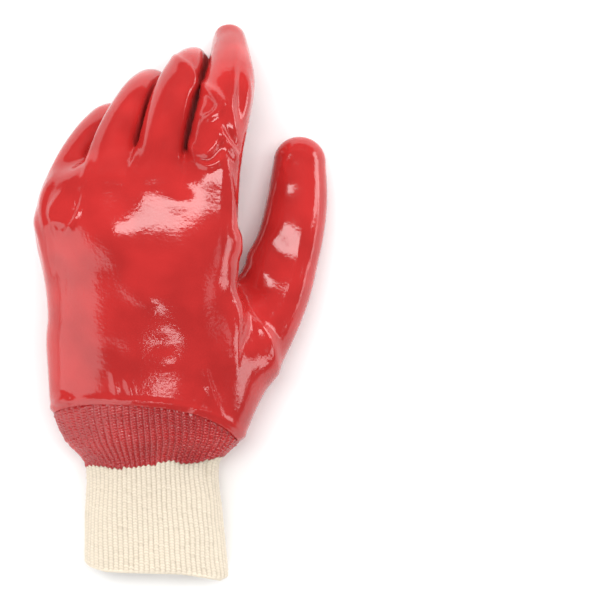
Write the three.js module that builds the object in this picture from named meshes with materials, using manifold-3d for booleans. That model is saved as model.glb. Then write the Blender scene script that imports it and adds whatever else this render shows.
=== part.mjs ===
import * as THREE from 'three';
import { mergeVertices } from 'three/addons/utils/BufferGeometryUtils.js';
import Module from 'manifold-3d';

const wasm = await Module();
wasm.setup();

// A left work glove that lies palm down as it does by itself, on its fingertips, its thumb and its knit wrist.
// Millimetres, +Z up, fingers towards +Y and thumb towards +X.
// The origin is on the flat underside of the knit wrist, at the middle of its length.

// Driving dimensions
const handLength = 129;
const knuckleHeight = 66;
const wristWidth = 66;
const wristHeight = 31;
const wristLength = 52;
const thumbLength = 115;
const indexLength = 125;
const middleLength = 122;
const ringLength = 112;
const littleLength = 96;
const thumbWidth = 30;
const indexWidth = 26;
const middleWidth = 24;
const ringWidth = 23;
const littleWidth = 23;
const handWall = 1.5;
const bandWall = 1.7;
const knitWall = 2.5;
const clearance = 0.5;
const bandTuck = 5;
const ribCount = 52;
const ribDepth = 0.7;
const hemRound = 1;

// The palm is as wide as its four fingers side by side.
const handWidth = indexWidth + middleWidth + ringWidth + littleWidth;

// Where the glove changes from one piece to the next
const seamRise = 0.203 * handLength;
const seamBow = 0.08 * handWidth;
const seamBowCentre = -0.43;
const seamLift = 0.045 * knuckleHeight;
const dipSlant = 0.025 * wristWidth;
const hemSlant = 0.037 * wristWidth;
const wristTuck = 0.55;
const lip = 0.3;
const dipStep = 0.4;

// How finely the surfaces are cut
const handSides = 36;
const liningSides = 36;
const digitSides = 12;
const digitSteps = 9;
const foldSides = 6;
const roundSteps = 3;

const named = (columns, rows) => rows.map((row) => Object.fromEntries(columns.map((name, i) => [name, row[i]])));

// Cross-sections of the wrist: along is a share of wristLength, left and right of wristWidth, heights of wristHeight.
// The underside passes below the ground, so that it lies flat on it.
const sectionColumns = ['along', 'left', 'right', 'bottom', 'top', 'squareness', 'lean'];
const wristSections = named(sectionColumns, [
  [-0.5, -0.540, 0.520, -0.065, 1.00, 2.5, 0],
  [0.0, -0.535, 0.480, -0.065, 0.97, 2.5, 0],
  [0.5, -0.530, 0.450, -0.050, 1.00, 2.5, 0],
]);

// Cross-sections of the hand: along is a share of handLength past the dip line, left and right are shares
// of handWidth and heights of knuckleHeight. Lean raises the thumb side as the hand rolls outwards.
const handSections = named(sectionColumns, [
  [0.087, -0.458, 0.417, 0.000, 0.576, 2.4, 0.00],
  [0.195, -0.529, 0.458, 0.015, 0.682, 2.3, 0.02],
  [0.350, -0.545, 0.479, 0.045, 0.773, 2.3, 0.05],
  [0.474, -0.550, 0.443, 0.091, 0.848, 2.3, 0.08],
  [0.606, -0.526, 0.406, 0.136, 0.909, 2.3, 0.10],
  [0.715, -0.531, 0.396, 0.197, 0.955, 2.3, 0.12],
  [0.808, -0.562, 0.388, 0.273, 0.977, 2.3, 0.13],
  [0.901, -0.562, 0.375, 0.364, 0.977, 2.3, 0.13],
  [1.000, -0.500, 0.359, 0.455, 0.947, 2.3, 0.12],
]);
const knuckleRound = 0.163 * handWidth;

// The fingers' roots stand side by side, each half of its own width from its neighbour.
const middleRoot = -0.042 * handWidth;
const indexRoot = middleRoot + (middleWidth + indexWidth) / 2;
const ringRoot = middleRoot - (middleWidth + ringWidth) / 2;
const littleRoot = ringRoot - (ringWidth + littleWidth) / 2;

// Sections along each digit from inside the hand to its tip. Root is its place across the hand, and start its
// place past the dip line as a share of handLength. Across and along are shares of its length from there,
// height a share of the drop from the knuckles to the ground, wide and deep shares of half its width.
const digitColumns = ['across', 'along', 'height', 'wide', 'deep'];
const digits = {
  thumb: {
    length: thumbLength,
    width: thumbWidth,
    turn: -33,
    root: 0.156 * handWidth,
    start: 0.118,
    sections: named(digitColumns, [
      [0.000, 0.000, 0.11, 1.27, 1.10],
      [0.122, 0.200, 0.09, 1.37, 1.17],
      [0.248, 0.400, 0.10, 1.27, 1.07],
      [0.343, 0.591, 0.08, 1.15, 0.97],
      [0.410, 0.783, 0.05, 1.03, 0.90],
      [0.446, 0.957, 0.02, 0.95, 0.83],
      [0.459, 1.113, 0.00, 0.84, 0.78],
    ]),
  },
  index: {
    length: indexLength,
    width: indexWidth,
    turn: -12,
    root: indexRoot,
    start: 0.707,
    sections: named(digitColumns, [
      [0.000, 0.000, 0.56, 0.92, 0.92],
      [0.036, 0.240, 0.66, 0.95, 1.00],
      [0.062, 0.464, 0.70, 0.98, 1.02],
      [0.087, 0.600, 0.60, 0.96, 1.00],
      [0.110, 0.720, 0.44, 0.92, 0.92],
      [0.113, 0.816, 0.23, 0.79, 0.81],
      [0.107, 0.884, 0.00, 0.65, 0.69],
    ]),
  },
  middle: {
    length: middleLength,
    width: middleWidth,
    turn: -16,
    root: middleRoot,
    start: 0.691,
    sections: named(digitColumns, [
      [0.000, 0.000, 0.62, 1.00, 1.08],
      [0.025, 0.230, 0.75, 0.97, 1.10],
      [0.056, 0.484, 0.80, 0.96, 1.10],
      [0.086, 0.656, 0.70, 0.93, 1.03],
      [0.120, 0.762, 0.49, 0.91, 0.97],
      [0.137, 0.820, 0.24, 0.84, 0.88],
      [0.140, 0.832, 0.00, 0.77, 0.82],
    ]),
  },
  ring: {
    length: ringLength,
    width: ringWidth,
    turn: -21,
    root: ringRoot,
    start: 0.668,
    sections: named(digitColumns, [
      [0.004, 0.000, 0.50, 1.00, 1.04],
      [0.012, 0.223, 0.61, 0.98, 1.09],
      [0.044, 0.455, 0.62, 0.98, 1.09],
      [0.105, 0.643, 0.52, 0.97, 1.03],
      [0.166, 0.772, 0.33, 0.95, 0.96],
      [0.200, 0.830, 0.14, 0.89, 0.90],
      [0.210, 0.844, 0.00, 0.81, 0.82],
    ]),
  },
  little: {
    length: littleLength,
    width: littleWidth,
    turn: -30,
    root: littleRoot,
    start: 0.629,
    sections: named(digitColumns, [
      [0.130, 0.000, 0.31, 1.04, 1.09],
      [0.073, 0.260, 0.37, 1.04, 1.09],
      [0.059, 0.438, 0.39, 0.98, 1.06],
      [0.117, 0.615, 0.33, 0.92, 0.97],
      [0.193, 0.755, 0.22, 0.89, 0.89],
      [0.255, 0.844, 0.09, 0.83, 0.83],
      [0.281, 0.870, 0.00, 0.79, 0.80],
    ]),
  },
};

// Soft folds that stand up from the coating, as ridges: across is a share of handWidth, along of handLength
// past the dip line, height of knuckleHeight and radius of handWidth.
const foldColumns = ['across', 'along', 'height', 'radius'];
const folds = {
  thumbWeb: named(foldColumns, [
    [0.383, 0.620, 0.60, 0.029],
    [0.436, 0.550, 0.55, 0.043],
    [0.498, 0.460, 0.47, 0.048],
    [0.532, 0.366, 0.37, 0.043],
    [0.508, 0.270, 0.30, 0.019],
  ]),
  littleSide: named(foldColumns, [
    [-0.537, 1.010, 0.52, 0.017],
    [-0.546, 0.910, 0.56, 0.027],
    [-0.541, 0.810, 0.58, 0.017],
  ]),
  indexBase: named(foldColumns, [
    [0.182, 1.160, 0.78, 0.012],
    [0.240, 1.100, 0.895, 0.024],
    [0.316, 1.120, 0.915, 0.024],
    [0.364, 1.190, 0.87, 0.012],
  ]),
};

// Shallow hollows in the back of the hand: places as for the folds, spread and depth as shares of handWidth.
const dents = named(['across', 'along', 'height', 'spread', 'depth'], [
  [0.077, 0.420, 0.82, 0.082, 0.019],
  [-0.288, 0.300, 0.72, 0.072, 0.015],
  [0.288, 0.330, 0.70, 0.077, 0.021],
  [-0.058, 0.760, 0.97, 0.086, 0.013],
]);

const signedPower = (value, power) => Math.sign(value) * Math.abs(value) ** power;

// A Catmull-Rom curve through the rows of a column, its ends carried on straight.
function spline(values, t) {
  const last = values.length - 1;
  const i = Math.min(Math.floor(t), last - 1);
  const f = t - i;
  const [b, c] = [values[i], values[i + 1]];
  const a = i > 0 ? values[i - 1] : 2 * b - c;
  const d = i < last - 1 ? values[i + 2] : 2 * c - b;
  return 0.5 * (2 * b + (c - a) * f + (2 * a - 5 * b + 4 * c - d) * f ** 2 + (3 * b - a - 3 * c + d) * f ** 3);
}

const splineRow = (rows, t) =>
  Object.fromEntries(Object.keys(rows[0]).map((name) => [name, spline(rows.map((row) => row[name]), t)]));

// The outer skin from hem to knuckles, as sections in millimetres.
const dipLine = wristLength / 2;
const knuckleLine = dipLine + handLength;

const inMillimetres = (row, start, length, width, height) => ({
  along: start + row.along * length,
  left: row.left * width,
  right: row.right * width,
  bottom: row.bottom * height,
  top: row.top * height,
  squareness: row.squareness,
  lean: row.lean,
});

const skinSections = [
  ...wristSections.map((row) => inMillimetres(row, 0, wristLength, wristWidth, wristHeight)),
  ...handSections.map((row) => inMillimetres(row, dipLine, handLength, handWidth, knuckleHeight)),
];

function sectionAt(y) {
  const last = skinSections.length - 1;
  const stop = skinSections.findIndex((row) => row.along > y);
  if (y <= skinSections[0].along) return skinSections[0];
  if (stop < 0) return skinSections[last];
  const from = skinSections[stop - 1];
  const part = (y - from.along) / (skinSections[stop].along - from.along);
  return splineRow(skinSections, stop - 1 + part);
}

// How deep the dents are at a point of the skin.
function dentAt(point) {
  return dents.reduce((sum, dent) => {
    const centre = new THREE.Vector3(
      dent.across * handWidth, dipLine + dent.along * handLength, dent.height * knuckleHeight);
    const spread = dent.spread * handWidth;
    return sum + dent.depth * handWidth * Math.exp(-0.5 * (point.distanceTo(centre) / spread) ** 2);
  }, 0);
}

// A point of the skin, moved in by inset and kept above floor. Scale narrows it where the knuckles round off.
function skinPoint(y, angle, inset, floor, scale = 1) {
  const section = sectionAt(y);
  const power = 2 / section.squareness;
  const halfWidth = (section.right - section.left) / 2 - inset;
  const halfHeight = (section.top - section.bottom) / 2 - inset;
  const across = signedPower(Math.cos(angle), power) * halfWidth * scale;
  const up = signedPower(Math.sin(angle), power) * halfHeight * scale;
  const middle = new THREE.Vector3((section.left + section.right) / 2, y, (section.bottom + section.top) / 2);
  const point = new THREE.Vector3(middle.x + across, y, middle.z + up + section.lean * across);
  point.add(middle.sub(point).setLength(dentAt(point)));
  return point.setZ(Math.max(point.z, floor));
}

// The three lines round the glove, as y at an angle: hem, lower edge of the dip, and seam to the smooth hand.
const hemAt = (angle) => -wristLength / 2 - hemSlant * Math.cos(angle);
const dipAt = (angle) => dipLine + dipSlant * Math.cos(angle);
const seamAt = (angle) =>
  dipLine + seamRise - seamBow * (Math.cos(angle) - seamBowCentre) ** 2 + seamLift * Math.sin(angle);
const between = (lineA, lineB, part) => (angle) => THREE.MathUtils.lerp(lineA(angle), lineB(angle), part);
const shifted = (line, distance) => (angle) => line(angle) + distance;

// Angles that stand at equal distances round the section at the dip line, so that the ribs are all as wide.
function evenAngles(count) {
  const fine = 40 * count;
  const points = Array.from({ length: fine + 1 }, (_, i) => skinPoint(dipLine, (2 * Math.PI * i) / fine, 0, 0));
  const distances = [0];
  for (let i = 1; i <= fine; i += 1) {
    distances.push(distances[i - 1] + points[i].distanceTo(points[i - 1]));
  }
  return Array.from({ length: count }, (_, i) => {
    const place = (distances[fine] * i) / count;
    return (2 * Math.PI * distances.findIndex((distance) => distance >= place)) / fine;
  });
}

const equalAngles = (count) => Array.from({ length: count }, (_, i) => (2 * Math.PI * i) / count);

// A closed solid through rings of points, each end closed by a fan round its middle point.
function loft(rings, startPoint, endPoint) {
  const sides = rings[0].length;
  const points = [...rings.flat(), startPoint, endPoint];
  const start = points.length - 2;
  const end = points.length - 1;
  const faces = [];
  for (let j = 0; j < sides; j += 1) {
    const next = (j + 1) % sides;
    const top = (rings.length - 1) * sides;
    faces.push(start, next, j);
    faces.push(end, top + j, top + next);
    for (let i = 0; i < rings.length - 1; i += 1) {
      const low = i * sides;
      const high = low + sides;
      faces.push(low + j, low + next, high + next);
      faces.push(low + j, high + next, high + j);
    }
  }
  const geometry = new THREE.BufferGeometry().setFromPoints(points);
  geometry.setIndex(faces);
  return toSolid(geometry);
}

const middleOf = (ring) => ring.reduce((sum, point) => sum.add(point), new THREE.Vector3()).divideScalar(ring.length);

function signedVolume(positions, faces) {
  const [a, b, c] = [new THREE.Vector3(), new THREE.Vector3(), new THREE.Vector3()];
  let sum = 0;
  for (let i = 0; i < faces.length; i += 3) {
    a.fromArray(positions, 3 * faces[i]);
    b.fromArray(positions, 3 * faces[i + 1]);
    c.fromArray(positions, 3 * faces[i + 2]);
    sum += a.dot(b.cross(c)) / 6;
  }
  return sum;
}

function toSolid(geometry) {
  const merged = mergeVertices(geometry, 1e-4);
  const positions = merged.attributes.position.array;
  const faces = Uint32Array.from(merged.index.array);
  if (signedVolume(positions, faces) < 0) faces.reverse();
  return new wasm.Manifold(new wasm.Mesh({ numProp: 3, vertProperties: positions, triVerts: faces }));
}

function toGeometry(solid) {
  const mesh = solid.getMesh();
  const geometry = new THREE.BufferGeometry();
  geometry.setAttribute('position', new THREE.BufferAttribute(mesh.vertProperties, 3));
  geometry.setIndex(new THREE.BufferAttribute(mesh.triVerts, 1));
  return geometry;
}

const joinAll = (solids) => solids.reduce((sum, solid) => sum.add(solid));

// A tube of skin through rows of { line, inset, floor, ribs }, closed at both ends.
function skinTube(rows, angles) {
  const rings = rows.map(({ line, inset, floor, ribs = 0 }) =>
    angles.map((angle, i) => skinPoint(line(angle), angle, inset + (i % 2) * ribs, floor)));
  return loft(rings, middleOf(rings[0]), middleOf(rings.at(-1)));
}

// The palm and back from below the seam to the rounded knuckles.
function palm(inset, startLine) {
  const angles = equalAngles(handSides);
  const knuckles = () => knuckleLine;
  const shares = [0, 0.03, 0.06, 0.1, 0.15, 0.22, 0.3, 0.4, 0.5, 0.6, 0.7, 0.8, 0.9, 1];
  const rings = shares.map((share) =>
    angles.map((angle) => skinPoint(between(startLine, knuckles, share)(angle), angle, inset, inset)));
  const round = knuckleRound - inset;
  for (let i = 1; i < roundSteps; i += 1) {
    const turn = (Math.PI / 2) * (i / roundSteps);
    const y = knuckleLine + round * Math.sin(turn);
    rings.push(angles.map((angle) => skinPoint(knuckleLine, angle, inset, inset, Math.cos(turn)).setY(y)));
  }
  const tip = middleOf(rings.at(-1)).setY(knuckleLine + round);
  return loft(rings, middleOf(rings[0]), tip);
}

// A digit is an oval tube along its spine, with a half-round end at its tip.
function digitSolid({ length, width, turn, root, start, sections }, inset) {
  const side = new THREE.Vector3(Math.cos(THREE.MathUtils.degToRad(turn)), Math.sin(THREE.MathUtils.degToRad(turn)), 0);
  const rowAt = (t) => {
    const row = splineRow(sections, t);
    const deep = (row.deep * width) / 2;
    const x = root + row.across * length;
    const y = dipLine + start * handLength + row.along * length;
    const z = deep + row.height * (knuckleHeight - deep);
    return { centre: new THREE.Vector3(x, y, z), wide: (row.wide * width) / 2 - inset, deep: deep - inset };
  };
  const last = sections.length - 1;
  const step = 0.01;
  const frameAt = (t) => {
    const from = Math.max(t - step, 0);
    const to = Math.min(t + step, last);
    const along = rowAt(to).centre.sub(rowAt(from).centre).normalize();
    const across = side.clone().addScaledVector(along, -side.dot(along)).normalize();
    return { along, across, up: new THREE.Vector3().crossVectors(across, along) };
  };
  const ringAt = (t, turnOver) => {
    const { centre, wide, deep } = rowAt(t);
    const { along, across, up } = frameAt(t);
    const middle = centre.clone().addScaledVector(along, ((wide + deep) / 2) * Math.sin(turnOver));
    return equalAngles(digitSides).map((angle) => {
      const point = middle.clone();
      point.addScaledVector(across, wide * Math.cos(angle) * Math.cos(turnOver));
      point.addScaledVector(up, deep * Math.sin(angle) * Math.cos(turnOver));
      return point.setZ(Math.max(point.z, inset));
    });
  };
  const rings = [];
  for (let i = 0; i <= digitSteps; i += 1) {
    rings.push(ringAt((last * i) / digitSteps, 0));
  }
  for (let i = 1; i < roundSteps; i += 1) {
    rings.push(ringAt(last, (Math.PI / 2) * (i / roundSteps)));
  }
  return loft(rings, rowAt(0).centre, middleOf(ringAt(last, Math.PI / 2)));
}

// A fold is a ridge along its rows, swelling and dying away with its radius.
function foldSolid(rows) {
  const points = rows.map((row) => new THREE.Vector3(
    row.across * handWidth, dipLine + row.along * handLength, row.height * knuckleHeight));
  const curve = new THREE.CatmullRomCurve3(points);
  const steps = 2 * (rows.length - 1);
  const frames = curve.computeFrenetFrames(steps, false);
  const rings = frames.normals.map((normal, i) => {
    const t = i / steps;
    const radius = spline(rows.map((row) => row.radius), t * (rows.length - 1)) * handWidth;
    return equalAngles(foldSides).map((angle) => curve.getPointAt(t)
      .addScaledVector(normal, radius * Math.cos(angle))
      .addScaledVector(frames.binormals[i], radius * Math.sin(angle)));
  });
  return loft(rings, points[0], points.at(-1));
}

// Everything below the seam, so that the rim of the hand is cut square to the skin.
function belowSeam() {
  const rim = shifted(seamAt, lip);
  return skinTube([
    { line: shifted(hemAt, -handWidth), inset: -handWidth, floor: -handWidth },
    { line: rim, inset: -handWidth, floor: -handWidth },
    { line: rim, inset: 5 * handWall, floor: 5 * handWall },
  ], equalAngles(2 * handSides));
}

// The dipped hand: one hollow body of palm, back, thumb and four fingers, open below the seam.
function coatedHand() {
  const outside = joinAll([
    palm(0, shifted(seamAt, -2 * handWall)),
    ...Object.values(digits).map((digit) => digitSolid(digit, 0)),
    ...Object.values(folds).map((rows) => foldSolid(rows)),
  ]);
  const inside = joinAll([
    palm(handWall, shifted(seamAt, -4 * handWall)),
    ...Object.values(digits).map((digit) => digitSolid(digit, handWall)),
  ]);
  return outside.subtract(belowSeam()).subtract(inside);
}

// The ribbed top of the knit wrist under the same dip. Its upper end tucks under the rim of the hand.
function dippedRibBand() {
  const tucked = handWall + clearance;
  const hollow = dipStep + bandWall;
  const outside = skinTube([
    { line: dipAt, inset: dipStep, floor: 0, ribs: ribDepth },
    { line: between(dipAt, seamAt, 0.35), inset: dipStep, floor: 0, ribs: ribDepth },
    { line: between(dipAt, seamAt, 0.7), inset: dipStep, floor: 0, ribs: ribDepth },
    { line: shifted(seamAt, -2 * lip), inset: dipStep, floor: 0, ribs: ribDepth },
    { line: seamAt, inset: tucked, floor: tucked },
    { line: shifted(seamAt, bandTuck / 2), inset: tucked, floor: tucked },
    { line: shifted(seamAt, bandTuck), inset: tucked, floor: tucked },
  ], evenAngles(2 * ribCount));
  const inside = skinTube([
    { line: shifted(dipAt, -hollow), inset: hollow, floor: bandWall },
    { line: between(dipAt, seamAt, 0.3), inset: hollow, floor: bandWall },
    { line: between(dipAt, seamAt, 0.6), inset: hollow, floor: bandWall },
    { line: shifted(seamAt, -bandWall), inset: hollow + bandWall / 2, floor: tucked + bandWall },
    { line: shifted(seamAt, bandWall), inset: tucked + bandWall, floor: tucked + bandWall },
    { line: shifted(seamAt, bandTuck + hollow), inset: tucked + bandWall, floor: tucked + bandWall },
  ], equalAngles(liningSides));
  return outside.subtract(inside);
}

// The undipped knit wrist, folded double at its rounded hem. Its upper end tucks inside the band.
function knitWrist() {
  const outer = dipStep + lip;
  const tucked = dipStep + bandWall + clearance;
  const floorIn = bandWall + clearance;
  const outside = skinTube([
    { line: hemAt, inset: outer + hemRound, floor: hemRound },
    { line: shifted(hemAt, 0.3 * hemRound), inset: outer + 0.3 * hemRound, floor: 0.3 * hemRound, ribs: ribDepth / 2 },
    { line: shifted(hemAt, hemRound), inset: outer, floor: 0, ribs: ribDepth },
    { line: between(hemAt, dipAt, 0.5), inset: outer, floor: 0, ribs: ribDepth },
    { line: shifted(dipAt, -3 * lip), inset: outer, floor: 0, ribs: ribDepth },
    { line: shifted(dipAt, -lip), inset: tucked, floor: floorIn },
    { line: between(dipAt, seamAt, wristTuck / 2), inset: tucked, floor: floorIn },
    { line: between(dipAt, seamAt, wristTuck), inset: tucked, floor: floorIn },
  ], evenAngles(2 * ribCount));
  const inside = skinTube([
    { line: shifted(hemAt, -hemRound), inset: outer + knitWall - hemRound, floor: knitWall - hemRound },
    { line: shifted(hemAt, hemRound), inset: outer + knitWall, floor: knitWall },
    { line: between(hemAt, dipAt, 0.5), inset: outer + knitWall, floor: knitWall },
    { line: shifted(dipAt, -2 * knitWall), inset: outer + knitWall, floor: knitWall },
    { line: shifted(dipAt, -lip), inset: tucked + knitWall, floor: floorIn + knitWall },
    { line: between(dipAt, seamAt, wristTuck / 2), inset: tucked + knitWall, floor: floorIn + knitWall },
    { line: between(dipAt, seamAt, 1), inset: tucked + knitWall, floor: floorIn + knitWall },
  ], equalAngles(liningSides));
  return outside.subtract(inside);
}

function piece(name, solid, material) {
  const mesh = new THREE.Mesh(toGeometry(solid), material);
  mesh.name = name;
  return mesh;
}

const glossyCoating = new THREE.MeshStandardMaterial({ color: '#d03738', roughness: 0.2, metalness: 0 });
const ribbedCoating = new THREE.MeshStandardMaterial({ color: '#bb3a3a', roughness: 0.35, metalness: 0 });
const ribKnit = new THREE.MeshStandardMaterial({ color: '#f3e6cf', roughness: 0.9, metalness: 0 });

const glove = new THREE.Group();
glove.add(piece('coated_hand', coatedHand(), glossyCoating));
glove.add(piece('dipped_rib_band', dippedRibBand(), ribbedCoating));
glove.add(piece('knit_wrist', knitWrist(), ribKnit));

export default glove;
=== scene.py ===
"""A PVC coated work glove with a rib knit wrist, lying palm down on its fingertips, thumb and wrist.

Shapes are worked out in millimetres as whole arrays and put into the meshes in metres. Fingers point
towards +Y, the thumb towards +X, and the origin is on the flat underside of the knit wrist.
"""
import logging
import math
from dataclasses import dataclass, field
from enum import Enum

import bmesh
import bpy
import numpy as np
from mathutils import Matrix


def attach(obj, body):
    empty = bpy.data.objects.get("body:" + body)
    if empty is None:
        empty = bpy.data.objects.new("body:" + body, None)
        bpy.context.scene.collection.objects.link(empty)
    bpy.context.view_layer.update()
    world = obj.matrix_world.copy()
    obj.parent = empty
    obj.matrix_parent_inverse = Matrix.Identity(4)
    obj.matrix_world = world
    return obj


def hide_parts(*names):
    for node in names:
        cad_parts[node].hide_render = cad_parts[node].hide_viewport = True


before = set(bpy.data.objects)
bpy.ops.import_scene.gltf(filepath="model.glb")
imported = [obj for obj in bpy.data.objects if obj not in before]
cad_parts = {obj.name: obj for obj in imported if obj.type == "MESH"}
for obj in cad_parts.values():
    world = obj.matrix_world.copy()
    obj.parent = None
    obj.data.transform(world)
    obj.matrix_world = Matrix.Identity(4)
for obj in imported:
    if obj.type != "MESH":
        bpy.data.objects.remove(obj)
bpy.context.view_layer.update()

import openvdb
from mathutils import Vector

MM = 0.001
# Added to a size or a length before something is divided by it.
SMALL, SMALLER = 1e-6, 1e-9
LOG = logging.getLogger("glove")

Array = np.ndarray


def spline(rows: Array, t: Array) -> Array:
    """A smooth curve through rows, its ends carried on straight.

    Between two knots it is the cubic whose slope at each knot is half the way from the knot before to
    the knot after.

    Args:
        rows: One row of numbers for each knot.
        t: Places along the curve, counted in rows.

    Returns:
        The row at each place, with the columns as the last axis.
    """
    knots = np.vstack([2 * rows[0] - rows[1], rows, 2 * rows[-1] - rows[-2]])
    t = np.clip(t, 0, len(rows) - 1)
    i = np.minimum(t.astype(int), len(rows) - 2)
    f = (t - i)[..., None]
    a, b, c, d = knots[i], knots[i + 1], knots[i + 2], knots[i + 3]
    return 0.5 * (2 * b + (c - a) * f + (2 * a - 5 * b + 4 * c - d) * f**2 + (3 * b - a - 3 * c + d) * f**3)


def smooth_step(low: float, high: float, value: Array) -> Array:
    """0 before low, 1 after high and 3s^2 - 2s^3 between, where s is the share of the way."""
    share = np.clip((value - low) / (high - low), 0, 1)
    return share * share * (3 - 2 * share)


def smooth_least(a: Array, b: Array, reach: float) -> Array:
    """The lesser of two distances, with the corner between them filled over that reach."""
    share = np.clip(0.5 + 0.5 * (b - a) / reach, 0, 1)
    return b + (a - b) * share - reach * share * (1 - share)


def signed_power(value: Array, power: Array) -> Array:
    """The power of the size of value, with the sign of value."""
    return np.sign(value) * np.abs(value) ** power


def nearest(points: Array, places: Array, stride: int = 1) -> tuple[Array, Array]:
    """Finds the place nearest to each point.

    Args:
        points: Rows of coordinates.
        places: Rows of coordinates to choose from.
        stride: Only every so many places are tried.

    Returns:
        The number of the nearest place, and the square of the distance to it.
    """
    best = np.full(len(points), np.inf)
    index = np.zeros(len(points), int)
    for k in range(0, len(places), stride):
        gap = ((points - places[k]) ** 2).sum(1)
        closer = gap < best
        best[closer] = gap[closer]
        index[closer] = k
    return index, best


def within(points: Array, places: Array, margin: float) -> Array:
    """Whether each point is in the box round the places, widened by a margin."""
    return np.all((points > places.min(0) - margin) & (points < places.max(0) + margin), axis=1)


def link_smooth(name: str, mesh: bpy.types.Mesh) -> bpy.types.Object:
    """Makes a smooth-shaded object of a mesh.

    Args:
        name: The object's name.
        mesh: The mesh, in metres.

    Returns:
        The object, linked to the scene.
    """
    mesh.shade_smooth()
    mesh.update()
    made = bpy.data.objects.new(name, mesh)
    bpy.context.collection.objects.link(made)
    return made


def mesh_object(name: str, points: Array, faces: Array) -> bpy.types.Object:
    """Makes a smooth-shaded object.

    Args:
        name: The object's name.
        points: Corners in millimetres, one row each.
        faces: Corner numbers, three or four to a row.

    Returns:
        The object, linked to the scene, with its place in its mesh.
    """
    mesh = bpy.data.meshes.new(name)
    mesh.from_pydata(points * MM, [], faces.tolist())
    return link_smooth(name, mesh)


def mark_gaps(mesh: bpy.types.Mesh, gaps: list[Array]) -> None:
    """Stores at each vertex how deep it lies in a gap, from 0 to 1, for the finishes to read as painted shade."""
    layer = mesh.attributes.new("gap_depth", "FLOAT", "POINT")
    layer.data.foreach_set("value", np.clip(np.concatenate(gaps), 0, 1).astype(np.float32))


def ring_faces(rows: int, columns: int) -> Array:
    """The four-cornered faces of a grid that closes on itself both ways.

    Args:
        rows: Rows of the grid.
        columns: Points in a row.

    Returns:
        Four corner numbers to a row, counted along the grid's rows.
    """
    row, column = np.meshgrid(np.arange(rows), np.arange(columns), indexing="ij")
    next_row, next_column = (row + 1) % rows, (column + 1) % columns
    corners = [row * columns + column, row * columns + next_column,
               next_row * columns + next_column, next_row * columns + column]
    return np.stack(corners, axis=-1).reshape(-1, 4)


@dataclass(frozen=True)
class GloveSizes:
    """The driving sizes of the whole glove, in millimetres, and the knuckles' share of the hand's width."""

    hand_length: float = 129
    hand_width: float = 96
    knuckle_height: float = 66
    wrist_width: float = 66
    wrist_height: float = 31
    wrist_length: float = 52
    hand_wall: float = 1.5
    band_wall: float = 1.7
    knit_wall: float = 2.5
    clearance: float = 0.5
    band_tuck: float = 5
    dip_step: float = 0.4
    knuckle_share: float = 0.163

    @property
    def dip_line(self) -> float:
        """Where the coating ends on the wrist."""
        return self.wrist_length / 2

    @property
    def knuckle_line(self) -> float:
        """Where the back of the hand starts to round off."""
        return self.dip_line + self.hand_length

    @property
    def knuckle_round(self) -> float:
        """How far the knuckles reach past the knuckle line."""
        return self.knuckle_share * self.hand_width


SIZES = GloveSizes()


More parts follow.
